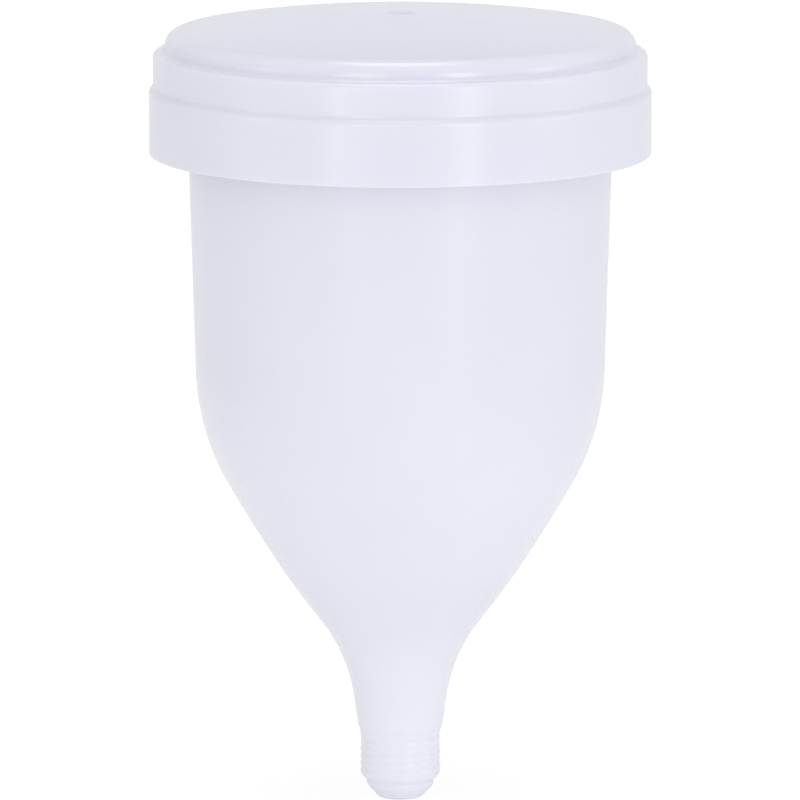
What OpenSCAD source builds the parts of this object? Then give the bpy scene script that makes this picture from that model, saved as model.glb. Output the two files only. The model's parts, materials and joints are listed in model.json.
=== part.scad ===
// Gravity-feed paint cup with a snap-fit lid, both moulded in milky polyethylene.
// The origin lies on the cup's axis, at the stop where the spigot's thread ends. +Z points up, towards the lid.

/* [Spigot] */
// Radius of the spigot over its thread
thread_r = 4.0; // [3.8:0.05:4.1]
// Length of the threaded stretch, from its stop down to the plain nose
thread_len = 4.4; // [3:0.1:8]
// Radius of the plain nose below the thread
nose_r = 3.35; // [3.1:0.05:3.6]
// Length of the plain nose, without its chamfer
nose_len = 1.15; // [0.5:0.05:4]
// Height and width of the 45 degree sealing chamfer on the nose
nose_chamfer = 1.25; // [0.3:0.05:1.4]
// Radius of the straight paint outlet through the spigot
outlet_r = 1.6; // [1:0.05:1.75]

/* [Funnel] */
// Thickness of the cup's wall, square to its face
cup_wall = 1.2; // [0.8:0.05:1.6]
// Radius of the neck just above the thread's stop
neck_r = 4.2; // [4.15:0.05:4.8]
// Radius at the corner where the neck's taper meets the lower cone
neck_top_r = 5.25; // [5:0.05:6]
// Height of that corner above the stop
neck_top_z = 7.8; // [6.5:0.1:9]
// Bend radius that blends the neck into the lower cone
neck_bend = 16.5; // [6:0.5:18]
// Radius at the corner where the lower cone meets the upper one
waist_r = 11.6; // [10.5:0.1:12.5]
// Height of that corner above the stop
waist_z = 15.9; // [14.5:0.1:17]
// Straight length of the lower cone between the neck's bend and the long bend that blends the two cones
cone_flat = 0.25; // [0.1:0.05:4]

/* [Bowl] */
// Radius at the corner where the upper cone meets the drafted wall
shoulder_r = 20.25; // [19.5:0.05:20.9]
// Height of that corner above the stop
shoulder_z = 30.3; // [28:0.1:34]
// Bend radius of the shoulder
shoulder_bend = 24.5; // [8:0.5:26]
// Radius of the straight mouth at the top of the drafted wall
mouth_r = 21.1; // [20.5:0.05:24]
// Length of the straight mouth, from the rim down to the drafted wall
mouth_len = 10.4; // [9:0.1:14]
// Height of the cup's rim above the stop
rim_z = 69.4; // [60:0.1:90]

/* [Snap ring] */
// How far the cup's snap ring stands out of its wall
ring_out = 2.1; // [1.2:0.05:3]
// Thickness of the snap ring at its root
ring_t = 1.6; // [1:0.1:2.4]
// Distance from the rim down to the top of the snap ring
ring_drop = 4.2; // [3.5:0.1:5]
// Free height under the snap ring, above the lid's bead
ring_gap = 0.4; // [0.2:0.05:0.8]
// Free width between the snap ring and the lid's grip band
ring_play = 0.6; // [0.4:0.05:1]
// Gap by which the lid's bead, drawn sprung open, passes the snap ring
bead_pass = 0.06; // [0.05:0.01:0.15]

/* [Lid outside] */
// Thickness of the lid's skirt and shoulder
lid_wall = 1.2; // [0.8:0.05:1.4]
// Thickness of the lid's top
top_t = 1.2; // [0.8:0.05:1.6]
// Depth to which the skirt reaches below the rim
skirt_drop = 10.8; // [9:0.1:14]
// Distance from the rim down to the top of the grip band, the lowest and widest one
grip_drop = 4.1; // [3.4:0.1:4.6]
// How far the band above the grip band steps inwards
band_step = 0.4; // [0.2:0.05:0.6]
// Width of the shoulder between that band and the raised disc
shoulder_w = 1.15; // [0.8:0.05:1.4]
// Distance from the rim down to the shoulder's face
shoulder_drop = 0.7; // [0.4:0.1:1]
// Rise of the domed top from the disc's edge to its middle
dome_rise = 2.0; // [1:0.1:4]
// Bend radius on the edge of the raised disc
disc_bend = 1.5; // [0.5:0.1:1.6]
// Bend radius on the edge of the shoulder
band_bend = 0.45; // [0.2:0.05:0.6]
// Radius of the moulding dimple in the middle of the top
dimple_r = 1.4; // [0.8:0.1:2.5]
// Depth of that dimple
dimple_depth = 0.35; // [0.2:0.05:0.5]

/* [Lid inside] */
// Gap between the sealing plug and the cup's mouth
plug_gap = 0.1; // [0.05:0.01:0.3]
// Thickness of the sealing plug
plug_t = 1.0; // [0.6:0.05:1.5]
// Depth of the sealing plug below the rim
plug_h = 4.4; // [2:0.1:6]
// Width of the lead-in on the plug's lower edge
plug_lead = 0.4; // [0.1:0.05:0.5]
// Height of the lid's retaining bead
bead_h = 1.2; // [0.8:0.1:1.6]

/* [Hidden] */
$fn = 128;

// Largest turn of one straight piece of a rounded corner, in degrees
arc_step = 3;
// Straight pieces along the dome's arc from its edge to the axis
dome_steps = 12;
// Radius on small moulded edges
edge_bend = 0.25;
// Distance by which a cutting shape overshoots a face
overshoot = 1;

tip_z = -(thread_len + nose_len + nose_chamfer);
mouth_z = rim_z - mouth_len;

ring_r = mouth_r + ring_out;
ring_top_z = rim_z - ring_drop;
ring_low_z = ring_top_z - ring_t;
// The snap ring's rim takes the lower half of its root, and the upper half slopes as a lead-in.
ring_edge_z = ring_low_z + ring_t / 2;

grip_in_r = ring_r + ring_play;
grip_r = grip_in_r + lid_wall;
band_r = grip_r - band_step;
disc_r = band_r - shoulder_w;
skirt_z = rim_z - skirt_drop;
grip_top_z = rim_z - grip_drop;
shoulder_face_z = rim_z - shoulder_drop;
disc_z = rim_z + top_t;
top_z = disc_z + dome_rise;

bead_r = ring_r + bead_pass;
bead_top_z = ring_low_z - ring_gap;
bead_low_z = bead_top_z - bead_h;
bead_slope = bead_h / 4;
plug_r = mouth_r - cup_wall - plug_gap;
plug_in_r = plug_r - plug_t;
plug_low_z = rim_z - plug_h;

// The 45 degree step on the thread's stop ends where it meets the neck.
NECK_FOOT = [neck_r, neck_r - thread_r];
NECK_TOP = [neck_top_r, neck_top_z];
WAIST = [waist_r, waist_z];
SHOULDER = [shoulder_r, shoulder_z];

// The long bend at the waist takes what the neck's bend and the straight part leave of the lower cone.
neck_reach = neck_bend * tan(turn_at(NECK_FOOT, NECK_TOP, WAIST) / 2);
waist_reach = norm(WAIST - NECK_TOP) - neck_reach - cone_flat;
waist_bend = waist_reach / tan(turn_at(NECK_TOP, WAIST, SHOULDER) / 2);

// Outside of the cup's wall from neck to rim, upwards, as corners of [radius, height, bend radius].
WALL = [
    [NECK_FOOT.x, NECK_FOOT.y, 0],
    [NECK_TOP.x, NECK_TOP.y, neck_bend],
    [WAIST.x, WAIST.y, waist_bend],
    [SHOULDER.x, SHOULDER.y, shoulder_bend],
    [mouth_r, mouth_z, 0],
    [mouth_r, rim_z, 0]
];

// Place of a corner, without its bend radius.
function place(corner) = [corner.x, corner.y];

function unit(v) = v / norm(v);

// Angle by which a chain of corners turns at b on its way from a to c, in degrees.
function turn_at(a, b, c) = acos(unit(b - a) * unit(c - b));

// A direction turned to its left by a quarter turn.
function left_of(v) = [-v.y, v.x];

// The list from its last entry to its first.
function backwards(list) = [for (i = [len(list) - 1:-1:0]) list[i]];

// Points on the arc that rounds the corner b between a and c.
function corner_arc(a, b, c, bend) =
    let (
        u = unit(a - b),
        v = unit(c - b),
        half = acos(u * v) / 2,
        centre = b + unit(u + v) * bend / sin(half),
        spoke = b + u * bend / tan(half) - centre,
        side = cross(b - a, c - b) > 0 ? 1 : -1,
        turn = side * (180 - 2 * half),
        steps = max(1, ceil(abs(turn) / arc_step))
    )
    [
        for (i = [0:steps])
            let (t = turn * i / steps)
                centre + spoke * cos(t) + left_of(spoke) * sin(t)
    ];

// A chain of corners as points, with every corner that has a bend radius rounded by it.
function rounded(path) =
    [
        for (i = [0:len(path) - 1])
            let (b = place(path[i]), bend = path[i].z)
                each (bend > 0 ? corner_arc(place(path[i - 1]), b, place(path[i + 1]), bend) : [b])
    ];

// The inner face of a wall of thickness t, for corners that run upwards along its outside.
// Each bend stays concentric with the one outside.
function inner_face(path, t) =
    [
        for (i = [0:len(path) - 1])
            let (
                into = max(i, 1),
                out = min(i, len(path) - 2),
                before = unit(place(path[into]) - place(path[into - 1])),
                after = unit(place(path[out + 1]) - place(path[out])),
                n1 = left_of(before),
                n2 = left_of(after),
                p = place(path[i]) + t * (n1 + n2) / (1 + n1 * n2),
                bend = path[i].z,
                grown = cross(before, after) > 0 ? bend - t : bend + t
            )
                [p.x, p.y, bend > 0 ? grown : 0]
    ];

// Corners on the lid's dome from radius r to the axis, with the dome's edge at height edge_z.
function dome(r, edge_z) =
    let (
        ball_r = (disc_r * disc_r + dome_rise * dome_rise) / (2 * dome_rise),
        ball_z = edge_z + dome_rise - ball_r
    )
    [
        for (i = [0:dome_steps])
            let (x = r * (1 - i / dome_steps))
                [x, ball_z + sqrt(ball_r * ball_r - x * x), 0]
    ];

// Cup's outside from the tip of the spigot up to the rim, with the snap ring under the lid.
function cup_outside() =
    let (mouth = len(WALL) - 1)
    concat(
        [
            [nose_r - nose_chamfer, tip_z, 0],
            [nose_r, tip_z + nose_chamfer, 0],
            [nose_r, nose_r - thread_r - thread_len, 0],
            [thread_r, -thread_len, 0],
            [thread_r, 0, 0]
        ],
        [for (i = [0:mouth - 1]) WALL[i]],
        [
            [mouth_r, ring_low_z, 0],
            [ring_r, ring_low_z, edge_bend],
            [ring_r, ring_edge_z, edge_bend],
            [mouth_r, ring_top_z, 0],
            WALL[mouth]
        ]
    );

// Cup's inside from the paint outlet up to the rim.
function cup_inside() =
    let (
        inner = inner_face(WALL, cup_wall),
        throat = inner[0],
        outlet_top_z = throat.y - (throat.x - outlet_r)
    )
    concat([[outlet_r, tip_z, 0], [outlet_r, outlet_top_z, 0]], inner);

// Lid's outside from the foot of the skirt up to the middle of the dome.
function lid_outside() =
    let (crown = dome(disc_r, disc_z))
    concat(
        [
            [grip_in_r, skirt_z, 0],
            [grip_r, skirt_z, edge_bend],
            [grip_r, grip_top_z - band_step, 0],
            [band_r, grip_top_z, 0],
            [band_r, shoulder_face_z, band_bend],
            [disc_r, shoulder_face_z, 0],
            [disc_r, disc_z, disc_bend]
        ],
        [for (i = [1:dome_steps]) crown[i]]
    );

// Lid's inside from the foot of the skirt up over the bead, the rim's seat and the plug to the middle.
function lid_inside() =
    concat(
        [
            [grip_in_r, bead_low_z, 0],
            [bead_r, bead_low_z + bead_slope, 0],
            [bead_r, bead_top_z - bead_slope, 0],
            [grip_in_r, bead_top_z, 0],
            [grip_in_r, grip_top_z - band_step, 0],
            [band_r - lid_wall, grip_top_z, 0],
            [band_r - lid_wall, shoulder_face_z - lid_wall, 0],
            [disc_r - lid_wall, shoulder_face_z - lid_wall, 0],
            [disc_r - lid_wall, rim_z, 0],
            [plug_r, rim_z, 0],
            [plug_r, plug_low_z + 2 * plug_lead, 0],
            [plug_r - plug_lead, plug_low_z, 0],
            [plug_in_r, plug_low_z, 0]
        ],
        dome(plug_in_r, disc_z - top_t)
    );

// A solid of revolution between an outer and an inner chain of corners that both run upwards.
module shell(outside, inside) {
    rotate_extrude()
        polygon(concat(rounded(outside), backwards(rounded(inside))));
}

module cup_body() {
    color([0.90, 0.905, 0.945])
        shell(cup_outside(), cup_inside());
}

module lid() {
    color([0.91, 0.915, 0.95])
        difference() {
            shell(lid_outside(), lid_inside());
            translate([0, 0, top_z - dimple_depth])
                cylinder(r = dimple_r, h = dimple_depth + overshoot);
        }
}

cup_body();
lid();
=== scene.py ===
"""Milky plastic paint cup with a snap-fit lid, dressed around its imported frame.

Both mouldings are turned from the same outlines as their solids, with the spigot's thread and the small
moulded radii added. Outlines are in millimetres, and a finished mesh is scaled to metres.
"""
import json
import logging
import math
from abc import ABC, abstractmethod
from collections.abc import Sequence
from dataclasses import dataclass, field
from enum import Enum
from functools import cache
from itertools import pairwise

import bmesh
import bpy
from mathutils import Color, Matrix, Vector


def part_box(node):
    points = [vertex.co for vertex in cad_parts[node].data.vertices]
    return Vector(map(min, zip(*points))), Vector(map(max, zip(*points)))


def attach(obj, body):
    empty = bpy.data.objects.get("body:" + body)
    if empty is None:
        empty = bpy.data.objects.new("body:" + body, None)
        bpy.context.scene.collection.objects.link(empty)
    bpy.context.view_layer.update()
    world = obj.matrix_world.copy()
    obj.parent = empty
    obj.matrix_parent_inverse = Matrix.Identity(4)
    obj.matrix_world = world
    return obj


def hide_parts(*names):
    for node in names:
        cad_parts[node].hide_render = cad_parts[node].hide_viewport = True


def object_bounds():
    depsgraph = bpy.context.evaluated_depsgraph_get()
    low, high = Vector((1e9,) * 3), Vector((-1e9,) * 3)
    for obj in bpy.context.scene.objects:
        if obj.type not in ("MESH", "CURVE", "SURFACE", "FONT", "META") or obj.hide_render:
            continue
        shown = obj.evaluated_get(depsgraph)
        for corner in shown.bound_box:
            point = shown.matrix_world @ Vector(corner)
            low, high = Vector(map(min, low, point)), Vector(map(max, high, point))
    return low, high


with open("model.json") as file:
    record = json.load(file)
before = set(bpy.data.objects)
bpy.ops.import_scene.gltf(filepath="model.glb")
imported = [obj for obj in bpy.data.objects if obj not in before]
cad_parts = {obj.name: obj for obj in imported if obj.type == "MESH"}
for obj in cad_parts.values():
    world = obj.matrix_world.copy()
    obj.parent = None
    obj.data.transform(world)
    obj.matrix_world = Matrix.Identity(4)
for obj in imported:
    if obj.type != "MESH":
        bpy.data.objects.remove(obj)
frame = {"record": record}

CAD_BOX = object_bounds()
LOG = logging.getLogger("paint_cup")

MM = 0.001
AXIS = Vector((0, 0, 1))
CENTRE = Vector((0, 0, 0))
# Points of a mesh that are nearer than this are one point, in millimetres.
WELD = 0.0005
# Power of a square metre of lamp, in watts, at which its face is just white.
WHITE_LAMP = 4.0


class Node(Enum):
    """The solids that the visible pieces stand for."""

    CUP = "cup_body"
    LID = "lid"


class Body(Enum):
    """The bodies that the pieces move with."""

    CUP = "cup"
    LID = "lid"


def solid_box(node: Node) -> tuple[Vector, Vector]:
    """Lowest and highest corner of a solid, in millimetres."""
    lowest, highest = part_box(node.value)
    return lowest / MM, highest / MM


def mount_size(mount: str, size: str) -> float:
    """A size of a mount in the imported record, in millimetres."""
    return next(m["dims"][size] for m in frame["record"]["mounts"] if m["name"] == mount)


def left_of(direction: Vector) -> Vector:
    """A direction turned to its left by a quarter turn."""
    return Vector((-direction.y, direction.x))


def smooth(share: float) -> float:
    """A share from 0 to 1 with soft ends, held inside that range."""
    held = min(max(share, 0.0), 1.0)
    return held * held * (3 - 2 * held)


@dataclass(frozen=True)
class Corner:
    """A corner of a half outline, by radius and height, rounded by a bend radius."""

    radius: float
    height: float
    bend: float = 0.0

    @property
    def place(self) -> Vector:
        """The corner as a point of the outline's plane."""
        return Vector((self.radius, self.height))


def inner_face(outside: Sequence[Corner], wall: float) -> list[Corner]:
    """Offsets a wall's outside to its inside.

    Args:
        outside: corners that run upwards along the outside.
        wall: the wall's thickness, square to its face.

    Returns:
        As many corners, each with its bend concentric with the one outside.
    """
    runs = [(above.place - below.place).normalized() for below, above in pairwise(outside)]
    inside = []
    for corner, before, after in zip(outside, [runs[0], *runs], [*runs, runs[-1]]):
        first, second = left_of(before), left_of(after)
        place = corner.place + (first + second) * wall / (1 + first.dot(second))
        turns_in = before.cross(after) > 0
        bend = corner.bend - wall if turns_in else corner.bend + wall
        inside.append(Corner(place.x, place.y, bend if corner.bend else 0.0))
    return inside


@dataclass
class OutlinePen:
    """Draws a half outline as a wire in the plane of X and Z.

    Attributes:
        wire: the mesh that takes the wire.
        sag: how far an arc's straight pieces may lie inside it.
        widest: the widest turn of one such piece, in radians.
        hold: how far from a bend a straight stretch gets an extra point, which keeps its shading flat.
        tip: the point that the pen stands on.
    """

    wire: bmesh.types.BMesh
    sag: float
    widest: float
    hold: float
    tip: bmesh.types.BMVert | None = None

    def step_to(self, place: Vector) -> None:
        """Draws one edge to a place, or sets the pen down there."""
        if self.tip is None:
            self.tip = self.wire.verts.new((place.x, 0, place.y))
            return
        grown = bmesh.ops.extrude_vert_indiv(self.wire, verts=[self.tip])
        self.tip = grown["verts"][0]
        self.tip.co = (place.x, 0, place.y)

    def line_to(self, place: Vector) -> None:
        """Draws a straight stretch, with a holding point near each of its ends."""
        if self.tip is not None:
            run = place - self.tip.co.xz
            # The two extra points may take up half of a stretch at most.
            if run.length > 4 * self.hold:
                ease = run.normalized() * self.hold
                self.step_to(self.tip.co.xz + ease)
                self.step_to(place - ease)
        self.step_to(place)

    def swing(self, centre: Vector, turn: float) -> None:
        """Draws an arc about a centre.

        Args:
            centre: the arc's centre in the outline's plane.
            turn: the angle to turn by, in radians, positive to the left.
        """
        radius = (self.tip.co.xz - centre).length
        piece = min(self.widest, 2 * math.acos(1 - min(self.sag / radius, 1)))
        steps = max(2, math.ceil(abs(turn) / piece))
        swung = bmesh.ops.spin(
            self.wire,
            geom=[self.tip],
            cent=(centre.x, 0, centre.y),
            axis=(0, 1, 0),
            angle=-turn,
            steps=steps,
        )
        self.tip = next(item for item in swung["geom_last"] if isinstance(item, bmesh.types.BMVert))

    def round_off(self, before: Corner, corner: Corner, after: Corner) -> None:
        """Draws up to a corner and round its bend."""
        back = (before.place - corner.place).normalized()
        onward = (after.place - corner.place).normalized()
        half = back.angle(onward) / 2
        centre = corner.place + (back + onward).normalized() * corner.bend / math.sin(half)
        side = math.copysign(1, (-back).cross(onward))
        self.line_to(corner.place + back * corner.bend / math.tan(half))
        self.swing(centre, side * (math.pi - 2 * half))

    def draw(self, corners: Sequence[Corner]) -> None:
        """Draws the whole outline."""
        for before, corner, after in zip([None, *corners], corners, [*corners[1:], None]):
            if corner.bend and before and after:
                self.round_off(before, corner, after)
            else:
                self.line_to(corner.place)


@dataclass(frozen=True)
class Lathe:
    """Turns half outlines into closed, smooth meshes.

    Attributes:
        segments: straight pieces in a full turn.
        sag: how far a bend's straight pieces may lie inside it, in millimetres.
        widest: the widest turn of one such piece, in degrees.
        hold: distance of the extra points from a bend, in millimetres.
        sharp: the angle from which a corner shades as a sharp one, in degrees.
    """

    segments: int = 192
    sag: float = 0.004
    widest: float = 15.0
    hold: float = 0.05
    sharp: float = 32.0

    def turn(self, corners: Sequence[Corner]) -> bmesh.types.BMesh:
        """Spins an outline about the cup's axis.

        Args:
            corners: the outline, which ends where it starts or starts and ends on the axis.

        Returns:
            A closed mesh with its faces outwards.
        """
        mesh = bmesh.new()
        OutlinePen(mesh, self.sag, math.radians(self.widest), self.hold).draw(corners)
        bmesh.ops.remove_doubles(mesh, verts=mesh.verts, dist=WELD)
        bmesh.ops.spin(
            mesh,
            geom=[*mesh.verts, *mesh.edges],
            cent=CENTRE,
            axis=AXIS,
            angle=math.tau,
            steps=self.segments,
            use_merge=True,
        )
        bmesh.ops.remove_doubles(mesh, verts=mesh.verts, dist=WELD)
        bmesh.ops.recalc_face_normals(mesh, faces=mesh.faces)
        return mesh

    def take_off(self, mesh: bmesh.types.BMesh, name: str) -> bpy.types.Object:
        """Makes a finished mesh an object of the scene.

        Args:
            mesh: the mesh in millimetres, which is freed.
            name: the object's name.

        Returns:
            The object in metres, smooth but for its sharp corners.
        """
        bmesh.ops.scale(mesh, vec=(MM, MM, MM), verts=mesh.verts)
        data = bpy.data.meshes.new(name)
        mesh.to_mesh(data)
        mesh.free()
        data.shade_smooth()
        data.set_sharp_from_angle(angle=math.radians(self.sharp))
        piece = bpy.data.objects.new(name, data)
        bpy.context.scene.collection.objects.link(piece)
        return piece


class Bench:
    """A node tree with short calls that place its nodes and join them."""

    def __init__(self, tree: bpy.types.NodeTree) -> None:
        """Takes the tree to work on."""
        self.tree = tree

    def node(
        self, kind: str, values: dict[str | int, object] | None = None, **settings: object
    ) -> bpy.types.Node:
        """Places a node.

        Args:
            kind: the node's type, without the words that all types start with.
            values: numbers, colours or sockets for its inputs, by the input's name or its number.
            **settings: the node's own settings.

        Returns:
            The node.
        """
        placed = self.tree.nodes.new(f"ShaderNode{kind}")
        for name, value in settings.items():
            setattr(placed, name, value)
        for name, value in (values or {}).items():
            self.feed(placed.inputs[name], value)
        return placed

    def feed(self, socket: bpy.types.NodeSocket, value: object) -> None:
        """Joins an input to a socket, or sets it to a constant."""
        if isinstance(value, bpy.types.NodeSocket):
            self.tree.links.new(value, socket)
        else:
            socket.default_value = value

    def sum(self, operation: str, *terms: object) -> bpy.types.NodeSocket:
        """Works out a sum on numbers or sockets, such as MULTIPLY or ADD."""
        return self.node("Math", dict(enumerate(terms)), operation=operation).outputs[0]

    def between(self, value: object, low: object, high: object) -> bpy.types.NodeSocket:
        """Stretches a value so that low becomes 0 and high becomes 1, held inside that range."""
        ranged = self.node("MapRange", {"Value": value, "From Min": low, "From Max": high}, clamp=True)
        return ranged.outputs["Result"]

    def blend(self, share: object, first: object, second: object) -> bpy.types.NodeSocket:
        """Mixes two colours by a share. The node has inputs of the same name, so they go by number."""
        return self.node("Mix", {0: share, 6: first, 7: second}, data_type="RGBA").outputs[2]

    def effect(self, group: bpy.types.NodeTree, values: dict[str, object]) -> bpy.types.NodeSocket:
        """Places a group with a single output and gives that output."""
        return self.node("Group", values, node_tree=group).outputs[0]


def start_group(
    name: str, inputs: dict[str, float | None], outputs: Sequence[str]
) -> tuple[Bench, bpy.types.Node]:
    """Starts a shader group.

    Args:
        name: the group's name.
        inputs: its inputs, where None stands for a vector and a number for a value's default.
        outputs: the names of its outputs, which are values.

    Returns:
        The bench to build it on, and the node that gives its inputs.
    """
    tree = bpy.data.node_groups.new(name, "ShaderNodeTree")
    for label, default in inputs.items():
        kind = "NodeSocketVector" if default is None else "NodeSocketFloat"
        socket = tree.interface.new_socket(label, in_out="INPUT", socket_type=kind)
        if default is not None:
            socket.default_value = default
    for label in outputs:
        tree.interface.new_socket(label, in_out="OUTPUT", socket_type="NodeSocketFloat")
    return Bench(tree), tree.nodes.new("NodeGroupInput")


def end_group(bench: Bench, results: dict[str, bpy.types.NodeSocket]) -> bpy.types.NodeTree:
    """Joins a group's results to its outputs and gives the group."""
    end = bench.tree.nodes.new("NodeGroupOutput")
    for label, socket in results.items():
        bench.feed(end.inputs[label], socket)
    return bench.tree


@cache
def melt_clouds() -> bpy.types.NodeTree:
    """Slow clouds where the melt cooled at different rates, as a share from 0 to 1."""
    bench, given = start_group("melt_clouds", {"Place": None, "Patches per metre": 70.0}, ["Cloud"])
    values = {
        "Vector": given.outputs["Place"],
        "Scale": given.outputs["Patches per metre"],
        "Detail": 3.0,
        "Roughness": 0.45,
        "Distortion": 0.6,
    }
    noise = bench.node("TexNoise", values)
    return end_group(bench, {"Cloud": bench.between(noise.outputs["Fac"], low=0.34, high=0.66)})


@cache
def turning_marks() -> bpy.types.NodeTree:
    """Fine rings that a mould turned on a lathe leaves on the plastic, as a height from 0 to 1."""
    bench, given = start_group("turning_marks", {"Place": None, "Rings per metre": 2600.0}, ["Height"])
    split = bench.node("SeparateXYZ", {"Vector": given.outputs["Place"]})
    flat = bench.node("CombineXYZ", {"X": split.outputs["X"], "Y": split.outputs["Y"]})
    reach = bench.node("VectorMath", {0: flat.outputs["Vector"]}, operation="LENGTH")
    across = bench.node("CombineXYZ", {"X": reach.outputs["Value"], "Y": split.outputs["Z"]})
    values = {
        "Vector": across.outputs["Vector"],
        "Scale": given.outputs["Rings per metre"],
        "Detail": 2.0,
        "Roughness": 0.6,
    }
    noise = bench.node("TexNoise", values, noise_dimensions="2D")
    return end_group(bench, {"Height": noise.outputs["Fac"]})


@cache
def mould_skin() -> bpy.types.NodeTree:
    """The faint orange peel of a moulded skin, as a height from 0 to 1."""
    bench, given = start_group("mould_skin", {"Place": None, "Pits per metre": 1400.0}, ["Height"])
    values = {
        "Vector": given.outputs["Place"],
        "Scale": given.outputs["Pits per metre"],
        "Detail": 2.5,
        "Roughness": 0.55,
    }
    noise = bench.node("TexNoise", values)
    return end_group(bench, {"Height": noise.outputs["Fac"]})


@cache
def handling_scuffs() -> bpy.types.NodeTree:
    """Sparse hairline scuffs from handling, as a share from 0 to 1."""
    bench, given = start_group("handling_scuffs", {"Place": None, "Amount": 0.5}, ["Scuff"])
    drawn_out = {
        "Vector": given.outputs["Place"],
        "Rotation": (0.4, 0.9, 0.3),
        "Scale": (160.0, 4200.0, 900.0),
    }
    turned = bench.node("Mapping", drawn_out)
    lines = bench.node("TexNoise", {"Vector": turned.outputs["Vector"], "Scale": 1.0, "Detail": 1.0})
    patches = bench.node("TexNoise", {"Vector": given.outputs["Place"], "Scale": 120.0, "Detail": 1.0})
    thin = bench.between(lines.outputs["Fac"], low=0.63, high=0.77)
    where = bench.between(patches.outputs["Fac"], low=0.5, high=0.62)
    there = bench.sum("MULTIPLY", thin, where)
    return end_group(bench, {"Scuff": bench.sum("MULTIPLY", there, given.outputs["Amount"])})


@cache
def dust_specks() -> bpy.types.NodeTree:
    """Rare dark specks caught in the plastic, as a share from 0 to 1."""
    bench, given = start_group("dust_specks", {"Place": None, "Cells per metre": 130.0}, ["Speck"])
    values = {
        "Vector": given.outputs["Place"],
        "Scale": given.outputs["Cells per metre"],
        "Randomness": 1.0,
    }
    cells = bench.node("TexVoronoi", values)
    near = bench.between(cells.outputs["Distance"], low=0.018, high=0.008)
    pick = bench.node("SeparateColor", {"Color": cells.outputs["Color"]})
    # One cell in five holds a speck.
    rare = bench.sum("GREATER_THAN", pick.outputs["Red"], 0.8)
    return end_group(bench, {"Speck": bench.sum("MULTIPLY", near, rare)})


@cache
def painted_light_band() -> bpy.types.NodeTree:
    """A band of heights in which painted light goes into a moulding's colour, as a share from 0 to 1."""
    inputs = {"Place": None, "Fades out at": 0.0, "Full at": 1.0}
    bench, given = start_group("painted_light_band", inputs, ["Share"])
    split = bench.node("SeparateXYZ", {"Vector": given.outputs["Place"]})
    share = bench.between(split.outputs["Z"], given.outputs["Fades out at"], given.outputs["Full at"])
    return end_group(bench, {"Share": share})


def linear(colour: tuple[float, float, float]) -> tuple[float, float, float, float]:
    """A colour as a screen shows it, made linear for a shader's socket."""
    return (*Color(colour).from_srgb_to_scene_linear(), 1.0)


@dataclass(frozen=True)
class MilkyPlastic:
    """Translucent polyethylene as it comes out of the mould.

    Attributes:
        name: the material's name.
        slot: the name of the record's slot for the material; not used.
        colour: the plastic's colour where it is clear of clouds.
        clouded: its colour in the middle of a cloud.
        painted_light: a colour painted over a band of heights that stands in for light: it lifts shade or
            offsets a reflection there.
        painted_light_ends: heights at which that colour has faded out and at which it is full, in
            millimetres.
        roughness: the satin of its skin, and satin the most that clouds and scuffs add to it.
        milk: share of the light that wanders through it, and depth how far, in millimetres.
        peel: height of the orange peel, in millimetres, and rings the height of the turning marks.
        scuffed: how much handling shows.
        speck: the colour of a speck.
    """

    name: str
    slot: str
    colour: tuple[float, float, float]
    clouded: tuple[float, float, float]
    painted_light: tuple[float, float, float]
    painted_light_ends: tuple[float, float]
    roughness: float = 0.22
    satin: float = 0.08
    milk: float = 0.3
    depth: float = 1.0
    peel: float = 0.006
    rings: float = 0.002
    scuffed: float = 0.2
    speck: tuple[float, float, float] = (0.55, 0.54, 0.56)

    def material(self) -> bpy.types.Material:
        """Builds the material."""
        made = bpy.data.materials.new(self.name)
        made.use_nodes = True
        made.node_tree.nodes.clear()
        bench = Bench(made.node_tree)
        place = bench.node("TexCoord").outputs["Object"]
        cloud = bench.effect(melt_clouds(), {"Place": place})
        scuff = bench.effect(handling_scuffs(), {"Place": place, "Amount": self.scuffed})
        speck = bench.effect(dust_specks(), {"Place": place})
        # A band of heights where a colour is painted in to stand in for light: lighter to lift shade, or
        # bluer to offset a pale reflection.
        faded, full = (end * MM for end in self.painted_light_ends)
        painted_light = bench.effect(painted_light_band(), {"Place": place, "Fades out at": faded, "Full at": full})
        skin = bench.effect(mould_skin(), {"Place": place})
        rings = bench.effect(turning_marks(), {"Place": place})

        body = bench.blend(cloud, linear(self.colour), linear(self.clouded))
        # The painted light goes into the colour here.
        whole = bench.blend(painted_light, body, linear(self.painted_light))
        spotted = bench.blend(speck, whole, linear(self.speck))

        dull = bench.sum("MULTIPLY", cloud, self.satin / 2)
        worn = bench.sum("MULTIPLY", scuff, self.satin)
        rough = bench.sum("ADD", bench.sum("ADD", dull, worn), self.roughness)

        pitted = bench.sum("MULTIPLY", skin, self.peel)
        ringed = bench.sum("MULTIPLY", rings, self.rings)
        scored = bench.sum("MULTIPLY", scuff, self.rings)
        height = bench.sum("SUBTRACT", bench.sum("ADD", pitted, ringed), scored)
        bump = bench.node("Bump", {"Height": height, "Strength": 1.0, "Distance": MM})

        plastic = bench.node(
            "BsdfPrincipled",
            {
                "Base Color": spotted,
                "Roughness": rough,
                "IOR": 1.51,
                "Subsurface Weight": self.milk,
                "Subsurface Radius": (1.0, 1.0, 1.0),
                "Subsurface Scale": self.depth * MM,
                "Normal": bump.outputs["Normal"],
            },
        )
        end = bench.node("OutputMaterial")
        bench.feed(end.inputs["Surface"], plastic.outputs["BSDF"])
        return made


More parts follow.
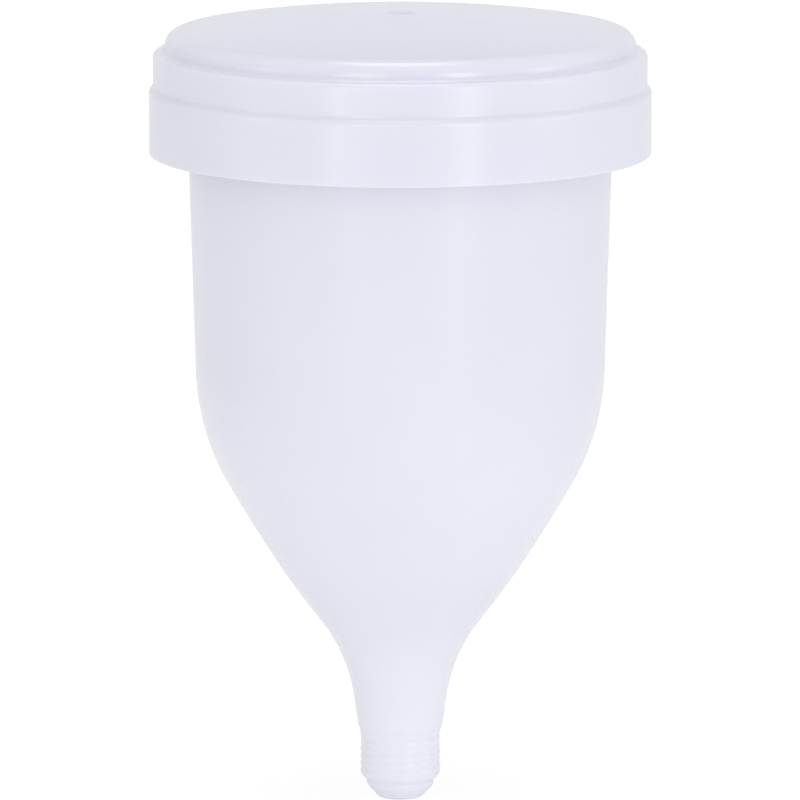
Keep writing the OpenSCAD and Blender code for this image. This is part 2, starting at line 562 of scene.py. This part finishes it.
@dataclass
class Moulding(ABC):
    """A moulded piece that is turned on the cup's axis.

    Attributes:
        lathe: the lathe that turns it.
    """

    lathe: Lathe = field(default_factory=Lathe)

    @property
    @abstractmethod
    def name(self) -> str:
        """The piece's name."""

    @abstractmethod
    def outline(self) -> list[Corner]:
        """The piece's half outline."""

    @abstractmethod
    def finish(self) -> MilkyPlastic:
        """The plastic that the piece is made of."""

    def shape(self, mesh: bmesh.types.BMesh) -> None:
        """Adds what the lathe can't turn. A plain moulding needs nothing."""

    def build(self, node: Node, body: Body) -> bpy.types.Object:
        """Builds the piece and sets it in its solid's place.

        Args:
            node: the solid that the piece stands for.
            body: the body that it moves with.

        Returns:
            The finished piece.
        """
        mesh = self.lathe.turn(self.outline())
        self.shape(mesh)
        piece = self.lathe.take_off(mesh, self.name)
        plastic = self.finish()
        piece.data.materials.append(plastic.material())
        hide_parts(node.value)
        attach(piece, body.value)
        return piece


@dataclass
class Thread:
    """The spigot's thread, worn round, which runs out before both of its ends.

    Attributes:
        radius: radius over the crests, and length the stretch that carries the thread.
        pitch: rise of one turn, and depth that of the groove.
        first_crest: height of the top crest on the cup's right side.
        run_out: length over which the groove fades in at each end.
        rows: rows of points along the thread.
    """

    radius: float = mount_size("spigot", "r_mm")
    length: float = mount_size("spigot", "length_mm")
    pitch: float = 0.75
    depth: float = 0.07
    first_crest: float = -0.77
    run_out: float = 0.5
    rows: int = 72

    def groove(self, height: float, angle: float) -> float:
        """Depth of the groove at a height and an angle round the axis, for a right-handed thread."""
        turns = (height - self.first_crest) / self.pitch - angle / math.tau
        wave = (1 - math.cos(math.tau * turns)) / 2
        from_end = min(-height, height + self.length)
        return self.depth * wave * smooth(from_end / self.run_out)

    def cut(self, mesh: bmesh.types.BMesh) -> None:
        """Cuts the groove into the spigot of a turned mesh."""
        band = [edge for edge in mesh.edges if self.carries(edge)]
        bmesh.ops.subdivide_edges(mesh, edges=band, cuts=self.rows, use_grid_fill=True)
        for vert in mesh.verts:
            reach = vert.co.xy.length
            if abs(reach - self.radius) < WELD and -self.length < vert.co.z < 0:
                sunk = reach - self.groove(vert.co.z, math.atan2(vert.co.y, vert.co.x))
                vert.co.xy *= sunk / reach

    def carries(self, edge: bmesh.types.BMEdge) -> bool:
        """Whether an edge runs up the plain stretch that the thread goes into."""
        low, high = sorted(edge.verts, key=lambda vert: vert.co.z)
        on_spigot = all(abs(vert.co.xy.length - self.radius) < WELD for vert in edge.verts)
        return on_spigot and high.co.z - low.co.z > self.length / 2


@dataclass
class CupBody(Moulding):
    """The cup: spigot, neck, funnel, bowl and the ring that the lid snaps over.

    Attributes:
        thread: the thread on the spigot.
        tip_z: height of the spigot's end face, and rim_z that of the rim.
        outlet_r: radius of the bore through the spigot.
        nose_r: radius of the plain nose below the thread, and nose_chamfer the size of its chamfer.
        wall: the wall's thickness, square to its face.
        neck_r: radius of the neck just above the thread's stop.
        neck_top: corner where the neck meets the lower cone.
        waist: corner where the lower cone meets the upper one.
        shoulder: corner where the upper cone meets the drafted wall.
        mouth_r: radius of the straight mouth, and mouth_len its length down from the rim.
        mouth_bend: radius of the long bend where the drafted wall straightens into the mouth.
        ring_r: radius over the snap ring, and ring_t the ring's thickness at its root.
        ring_drop: distance from the rim down to the ring's top.
        rim_bend: bend radius on both edges of the rim.
        stop_taper: height over which the neck tapers to the thread's stop, and stop_bend the bends there.
        foot_bend: bend radius in the corner where the nose meets the thread's foot.
        nose_bend: bend radius above the nose's chamfer and on the thread's foot, and tip_bend at the tip.
        edge_bend: bend radius on other edges, and step_bend that on the finest ones.
    """

    thread: Thread = field(default_factory=Thread)
    tip_z: float = solid_box(Node.CUP)[0].z
    rim_z: float = solid_box(Node.CUP)[1].z
    ring_r: float = solid_box(Node.CUP)[1].x
    outlet_r: float = mount_size("paint_outlet", "r_mm")
    nose_r: float = 3.35
    nose_chamfer: float = 1.25
    wall: float = 1.2
    neck_r: float = 4.2
    neck_top: Corner = Corner(radius=5.25, height=7.8, bend=16.5)
    waist: Corner = Corner(radius=11.6, height=15.9, bend=90.0)
    shoulder: Corner = Corner(radius=20.25, height=30.3, bend=24.5)
    mouth_r: float = 21.1
    mouth_len: float = 10.4
    mouth_bend: float = 21.1
    ring_drop: float = 4.2
    ring_t: float = 1.6
    rim_bend: float = 0.35
    stop_taper: float = 0.5
    stop_bend: float = 1.2
    foot_bend: float = 0.28
    nose_bend: float = 0.9
    tip_bend: float = 0.5
    edge_bend: float = 0.25
    step_bend: float = 0.12

    @property
    def name(self) -> str:
        """The piece's name."""
        return "cup_shell"

    def wall_outside(self) -> list[Corner]:
        """Corners of the wall's outside, from the thread's stop up to the rim."""
        return [
            Corner(self.neck_r, self.neck_r - self.thread.radius, self.stop_bend),
            self.neck_top,
            self.waist,
            self.shoulder,
            Corner(self.mouth_r, self.rim_z - self.mouth_len, self.mouth_bend),
            Corner(self.mouth_r, self.rim_z, self.rim_bend),
        ]

    def spigot_outside(self) -> list[Corner]:
        """Corners of the spigot's outside, from its end face up to the thread's stop."""
        thread = self.thread
        nose_top = self.nose_r - thread.radius - thread.length
        return [
            Corner(self.nose_r - self.nose_chamfer, self.tip_z, self.tip_bend),
            Corner(self.nose_r, self.tip_z + self.nose_chamfer, self.nose_bend),
            Corner(self.nose_r, nose_top, self.foot_bend),
            Corner(thread.radius, -thread.length, self.nose_bend),
            Corner(thread.radius, 0, self.stop_bend),
        ]

    def neck_foot(self) -> Corner:
        """Where the neck starts to taper to the thread's stop, a little above the wall's lowest corner."""
        low, high = self.wall_outside()[:2]
        place = low.place.lerp(high.place, self.stop_taper / (high.height - low.height))
        return Corner(place.x, place.y, self.stop_bend)

    def snap_ring(self) -> list[Corner]:
        """Corners of the ring that the lid's bead snaps under, upwards."""
        top = self.rim_z - self.ring_drop
        foot = top - self.ring_t
        return [
            Corner(self.mouth_r, foot, self.step_bend),
            Corner(self.ring_r, foot, self.edge_bend),
            Corner(self.ring_r, foot + self.ring_t / 2, self.edge_bend),
            Corner(self.mouth_r, top, self.edge_bend),
        ]

    def inside(self) -> list[Corner]:
        """Corners of the inside, from the outlet's lower edge up to the rim."""
        faces = inner_face(self.wall_outside(), self.wall)
        throat = faces[0]
        outlet_top = throat.height - (throat.radius - self.outlet_r)
        return [
            Corner(self.outlet_r, self.tip_z, self.step_bend),
            Corner(self.outlet_r, outlet_top, self.step_bend),
            Corner(throat.radius, throat.height, self.edge_bend),
            *faces[1:-1],
            Corner(faces[-1].radius, self.rim_z, self.rim_bend),
        ]

    def outline(self) -> list[Corner]:
        """The half outline, up the outside and down the inside, from the end face's middle back to it."""
        outside = self.wall_outside()
        end_face = Corner((self.nose_r - self.nose_chamfer + self.outlet_r) / 2, self.tip_z)
        return [
            end_face,
            *self.spigot_outside(),
            self.neck_foot(),
            *outside[1:-1],
            *self.snap_ring(),
            outside[-1],
            *reversed(self.inside()),
            end_face,
        ]

    def shape(self, mesh: bmesh.types.BMesh) -> None:
        """Cuts the thread."""
        self.thread.cut(mesh)

    def finish(self) -> MilkyPlastic:
        """The cup's plastic, lighter in the neck and the spigot, where the wall is thickest; the lift is
        painted light that makes up for the shade on them.
        """
        return MilkyPlastic(
            name="cup_polyethylene",
            slot="cup_plastic",
            colour=(0.892, 0.896, 0.937),
            clouded=(0.886, 0.890, 0.932),
            # Painted light: a lighter colour in the neck and the spigot lifts the shade there.
            painted_light=(0.929, 0.933, 0.973),
            painted_light_ends=(14.0, -1.0),
        )


@dataclass
class Lid(Moulding):
    """The lid: skirt with its grip band and bead, shoulder, domed disc and sealing plug.

    Attributes:
        skirt_z: height of the skirt's lower edge, top_z that of the dome's top, and rim_z that of the rim.
        grip_r: radius of the grip band, the lowest and widest one.
        wall: thickness of the skirt and the shoulder.
        grip_drop: distance from the rim down to the top of the grip band.
        band_step: how far the band above the grip band steps inwards.
        shoulder_w: width of the shoulder round the raised disc.
        shoulder_drop: distance from the rim down to the shoulder's face.
        dome_rise: rise of the dome from the disc's edge to its middle, and dome_points its corners.
        disc_bend: bend radius on the disc's edge, and band_bend that on the shoulder's edge.
        dimple_r: radius of the moulding dimple in the middle of the top, and dimple_depth its depth.
        dimple_slope: width of the dimple's sloped side, and dimple_bend the bends at both of its ends.
        bead_r: radius inside the bead, drawn sprung open.
        bead_z: height of the bead's lower edge, and bead_h the bead's own height.
        plug_r: outer radius of the sealing plug, plug_t its thickness, and plug_h its depth below the rim.
        plug_lead: width of the lead-in on the plug's lower edge, which is twice as high as wide.
        seat_gap: gap between the rim and its seat.
        foot_bend: bend radius in the corner at the disc's foot.
        grip_bend: bend radius at both ends of the grip band's upper slope.
        plug_bend: bend radius where the plug meets the dome's underside.
        edge_bend: bend radius on other edges, and step_bend that on the finest ones.
    """

    skirt_z: float = solid_box(Node.LID)[0].z
    top_z: float = solid_box(Node.LID)[1].z
    grip_r: float = solid_box(Node.LID)[1].x
    rim_z: float = solid_box(Node.CUP)[1].z
    wall: float = 1.2
    grip_drop: float = 4.1
    band_step: float = 0.4
    shoulder_w: float = 1.15
    shoulder_drop: float = 0.7
    dome_rise: float = 2.0
    dome_points: int = 24
    disc_bend: float = 1.5
    band_bend: float = 0.45
    dimple_r: float = 1.4
    dimple_depth: float = 0.35
    dimple_slope: float = 0.6
    dimple_bend: float = 0.5
    bead_r: float = 23.26
    bead_z: float = 62.0
    bead_h: float = 1.2
    plug_r: float = 19.8
    plug_t: float = 1.0
    plug_h: float = 4.4
    plug_lead: float = 0.4
    seat_gap: float = 0.02
    foot_bend: float = 0.55
    grip_bend: float = 0.6
    plug_bend: float = 0.3
    edge_bend: float = 0.25
    step_bend: float = 0.12

    @property
    def name(self) -> str:
        """The piece's name."""
        return "lid_shell"

    @property
    def disc_r(self) -> float:
        """Radius of the raised disc."""
        return self.grip_r - self.band_step - self.shoulder_w

    @property
    def grip_top(self) -> float:
        """Height of the grip band's top."""
        return self.rim_z - self.grip_drop

    def dome_z(self, radius: float, edge: float) -> float:
        """Height of a dome at a radius, for a dome whose edge over the disc's radius is at a height."""
        ball = (self.disc_r**2 + self.dome_rise**2) / (2 * self.dome_rise)
        return edge + self.dome_rise - ball + math.sqrt(ball**2 - radius**2)

    def dome(self, inner: float, outer: float, edge: float) -> list[Corner]:
        """Corners along a dome.

        Args:
            inner: radius of the first corner, and outer that of the last.
            edge: height of the dome over the disc's radius.

        Returns:
            The corners, without the last one.
        """
        radii = [inner + (outer - inner) * step / self.dome_points for step in range(self.dome_points)]
        return [Corner(radius, self.dome_z(radius, edge)) for radius in radii]

    def top(self) -> list[Corner]:
        """Corners from the middle of the dimple out to the disc's edge."""
        edge = self.top_z - self.dome_rise
        floor = self.top_z - self.dimple_depth
        brink, *dome = self.dome(self.dimple_r, self.disc_r - self.disc_bend, edge)
        return [
            Corner(0, floor),
            Corner(self.dimple_r - self.dimple_slope, floor, self.dimple_bend),
            Corner(brink.radius, brink.height, self.dimple_bend),
            *dome,
            Corner(self.disc_r, edge, self.disc_bend),
        ]

    def skirt_outside(self) -> list[Corner]:
        """Corners from the disc's foot down to the skirt's lower edge."""
        face = self.rim_z - self.shoulder_drop
        band_r = self.grip_r - self.band_step
        return [
            Corner(self.disc_r, face, self.foot_bend),
            Corner(band_r, face, self.band_bend),
            Corner(band_r, self.grip_top, self.grip_bend),
            Corner(self.grip_r, self.grip_top - self.band_step, self.grip_bend),
            Corner(self.grip_r, self.skirt_z, self.step_bend),
        ]

    def skirt_inside(self) -> list[Corner]:
        """Corners from the skirt's lower edge up over the bead to the rim's seat."""
        inner_r = self.grip_r - self.wall
        band_r = inner_r - self.band_step
        ceiling = self.rim_z - self.shoulder_drop - self.wall
        slope = self.bead_h / 4
        return [
            Corner(inner_r, self.skirt_z, self.edge_bend),
            Corner(inner_r, self.bead_z, self.step_bend),
            Corner(self.bead_r, self.bead_z + slope, self.step_bend),
            Corner(self.bead_r, self.bead_z + self.bead_h - slope, self.step_bend),
            Corner(inner_r, self.bead_z + self.bead_h, self.step_bend),
            Corner(inner_r, self.grip_top - self.band_step, self.step_bend),
            Corner(band_r, self.grip_top, self.step_bend),
            Corner(band_r, ceiling, self.edge_bend),
            Corner(self.disc_r - self.wall, ceiling, self.step_bend),
            Corner(self.disc_r - self.wall, self.rim_z + self.seat_gap, self.edge_bend),
        ]

    def underside(self) -> list[Corner]:
        """Corners from the rim's seat down round the plug and up to the middle of the dome's underside."""
        foot = self.rim_z - self.plug_h
        plug_in = self.plug_r - self.plug_t
        # The underside has the same dome as the top, with its edge lowered to the rim's height.
        under = self.rim_z
        return [
            Corner(self.plug_r, self.rim_z + self.seat_gap, self.step_bend),
            Corner(self.plug_r, foot + 2 * self.plug_lead, self.edge_bend),
            Corner(self.plug_r - self.plug_lead, foot, self.step_bend),
            Corner(plug_in, foot, self.step_bend),
            Corner(plug_in, self.dome_z(plug_in, under), self.plug_bend),
            *reversed(self.dome(0, plug_in, under)),
        ]

    def outline(self) -> list[Corner]:
        """The half outline, from the middle of the top round the skirt to the middle of the underside."""
        return [*self.top(), *self.skirt_outside(), *self.skirt_inside(), *self.underside()]

    def finish(self) -> MilkyPlastic:
        """The lid's plastic, painted bluer on the dome to offset the pale reflection that the dome shows.
        """
        edge = self.top_z - self.dome_rise
        return MilkyPlastic(
            name="lid_polyethylene",
            slot="lid_plastic",
            colour=(0.882, 0.888, 0.933),
            clouded=(0.874, 0.880, 0.926),
            # Painted light: a bluer colour on the dome offsets its pale reflection.
            painted_light=(0.883, 0.892, 0.951),
            painted_light_ends=(edge, edge + self.dome_rise / 2),
        )


@dataclass(frozen=True)
class SoftBox:
    """A rectangular lamp that faces the cup.

    Attributes:
        name: the lamp's name.
        azimuth: where it stands, in degrees to the right of the camera.
        elevation: its height above the horizon, in degrees.
        width: its width in metres, and height its height.
        level: how bright its face is, where 1 is white.
        distance: how far it stands from the cup, in metres.
    """

    name: str
    azimuth: float
    elevation: float
    width: float
    height: float
    level: float
    distance: float = 1.2

    def build(self, target: Vector) -> None:
        """Sets the lamp up so that it faces a point."""
        lamp = bpy.data.lights.new(self.name, "AREA")
        lamp.shape = "RECTANGLE"
        lamp.size = self.width
        lamp.size_y = self.height
        lamp.energy = WHITE_LAMP * self.level * self.width * self.height
        holder = bpy.data.objects.new(self.name, lamp)
        across, up = math.radians(self.azimuth), math.radians(self.elevation)
        away = Vector((math.sin(across) * math.cos(up), -math.cos(across) * math.cos(up), math.sin(up)))
        holder.location = target + away * self.distance
        holder.rotation_euler = away.to_track_quat("Z", "Y").to_euler()
        holder.visible_camera = False
        bpy.context.scene.collection.objects.link(holder)


@dataclass(frozen=True)
class WhiteFloor:
    """A plain white floor that reads as white paper and keeps the cup's shadow.

    Attributes:
        radius: its radius in metres, and sides how many it has.
        albedo: how much light it throws back at the cup.
        glow: the light that it gives off by itself, as a light table does.
        shadow: how much of what the camera sees of it is lit by the lamps, and so takes the shadow.
        lift: how far the rest is over what would make it white, to make up for the lamps' low level there.
    """

    radius: float = 6.0
    sides: int = 96
    albedo: float = 0.85
    glow: float = 0.18
    shadow: float = 0.3
    lift: float = 0.08

    def build(self) -> None:
        """Lays the floor under the spigot's tip."""
        mesh = bmesh.new()
        bmesh.ops.create_circle(mesh, cap_ends=True, segments=self.sides, radius=self.radius)
        bmesh.ops.translate(mesh, verts=mesh.verts, vec=(0, 0, CAD_BOX[0].z))
        data = bpy.data.meshes.new("floor")
        mesh.to_mesh(data)
        mesh.free()
        floor = bpy.data.objects.new("floor", data)
        floor.data.materials.append(self.material())
        bpy.context.scene.collection.objects.link(floor)

    def material(self) -> bpy.types.Material:
        """Builds the floor's paint."""
        paint = bpy.data.materials.new("white_paper")
        paint.use_nodes = True
        paint.node_tree.nodes.clear()
        bench = Bench(paint.node_tree)
        rays = bench.node("LightPath")
        paper = bench.node("BsdfDiffuse", {"Color": (self.albedo, self.albedo, self.albedo, 1)})
        lit = bench.node("Emission", {"Strength": self.glow})
        card = bench.node("AddShader", {0: paper.outputs[0], 1: lit.outputs[0]})
        dim = bench.node("BsdfDiffuse", {"Color": (self.shadow, self.shadow, self.shadow, 1)})
        glow = bench.node("Emission", {"Strength": 1 - self.shadow + self.lift})
        seen = bench.node("AddShader", {0: dim.outputs[0], 1: glow.outputs[0]})
        looked_at = rays.outputs["Is Camera Ray"]
        picked = bench.node("MixShader", {0: looked_at, 1: card.outputs[0], 2: seen.outputs[0]})
        end = bench.node("OutputMaterial")
        bench.feed(end.inputs["Surface"], picked.outputs[0])
        return paint


@dataclass(frozen=True)
class PhotoCamera:
    """The camera at the photograph's angle.

    Attributes:
        distance: from the aimed point, in metres.
        elevation: above the horizon, in degrees.
        lens: focal length, in millimetres.
        nearest: the nearest that it sees, in metres.
        aim_x: where it aims, across the cup's axis, and aim_z at what height, both in millimetres.
    """

    distance: float = 1.0
    elevation: float = 9.5
    lens: float = 450.0
    nearest: float = 0.05
    aim_x: float = -0.03
    aim_z: float = 33.57

    def build(self) -> None:
        """Sets the camera up as the scene's own."""
        camera = bpy.data.cameras.new("photo_camera")
        camera.lens = self.lens
        camera.clip_start = self.nearest
        holder = bpy.data.objects.new("photo_camera", camera)
        up = math.radians(self.elevation)
        away = Vector((0, -math.cos(up), math.sin(up)))
        holder.location = Vector((self.aim_x, 0, self.aim_z)) * MM + away * self.distance
        holder.rotation_euler = away.to_track_quat("Z", "Y").to_euler()
        bpy.context.scene.collection.objects.link(holder)
        bpy.context.scene.camera = holder


@dataclass(frozen=True)
class Studio:
    """A white sweep with soft lamps, as for a catalogue picture.

    Attributes:
        ambient: level of the surroundings' light, which the camera itself sees as white.
        camera: the camera, and floor what the cup stands on.
        lamps: the lamps, each by name, azimuth and elevation. The two cards are lamps that stand low
            and near the cup, where its upright faces mirror them.
    """

    ambient: float = 0.65
    camera: PhotoCamera = PhotoCamera()
    floor: WhiteFloor = WhiteFloor()
    lamps: tuple[SoftBox, ...] = (
        SoftBox("right_box", 29, 5, width=0.3, height=0.25, level=4.9),
        SoftBox("left_box", -17, 5, width=0.3, height=0.25, level=3.6),
        SoftBox("right_side", 73, 5, width=0.4, height=0.25, level=2.6),
        SoftBox("left_side", -67, 5, width=0.4, height=0.25, level=1.5),
        SoftBox("top_box", 0, 88, width=0.6, height=0.6, level=2.6),
        SoftBox("back_box", 180, 12, width=1.6, height=0.5, level=0.15),
        SoftBox("right_card", 31, 0, width=0.03, height=0.078, level=2.3, distance=0.35),
        SoftBox("left_card", -28, 0, width=0.022, height=0.078, level=3.0, distance=0.35),
    )

    def build(self) -> None:
        """Sets up the surroundings, floor, lamps and camera."""
        self.surround()
        self.floor.build()
        middle = (CAD_BOX[0] + CAD_BOX[1]) / 2
        for lamp in self.lamps:
            lamp.build(middle)
        self.camera.build()

    def surround(self) -> None:
        """Makes the world white to see and plainly lit."""
        world = bpy.data.worlds.new("white_sweep")
        world.use_nodes = True
        world.node_tree.nodes.clear()
        bench = Bench(world.node_tree)
        seen = bench.node("LightPath").outputs["Is Camera Ray"]
        strength = bench.sum("ADD", bench.sum("MULTIPLY", seen, 1 - self.ambient), self.ambient)
        air = bench.node("Background", {"Color": (1, 1, 1, 1), "Strength": strength})
        end = bench.node("OutputWorld")
        bench.feed(end.inputs["Surface"], air.outputs[0])
        bpy.context.scene.world = world


def main() -> None:
    """Builds the cup, its lid and the studio."""
    logging.basicConfig(level=logging.INFO, format="%(message)s")
    bpy.context.scene.view_settings.view_transform = "Standard"
    for moulding, node, body in ((CupBody(), Node.CUP, Body.CUP), (Lid(), Node.LID, Body.LID)):
        piece = moulding.build(node, body)
        LOG.info("%s: %d faces, with %s", piece.name, len(piece.data.polygons), body.value)
    Studio().build()


if __name__ == "__main__":
    main()
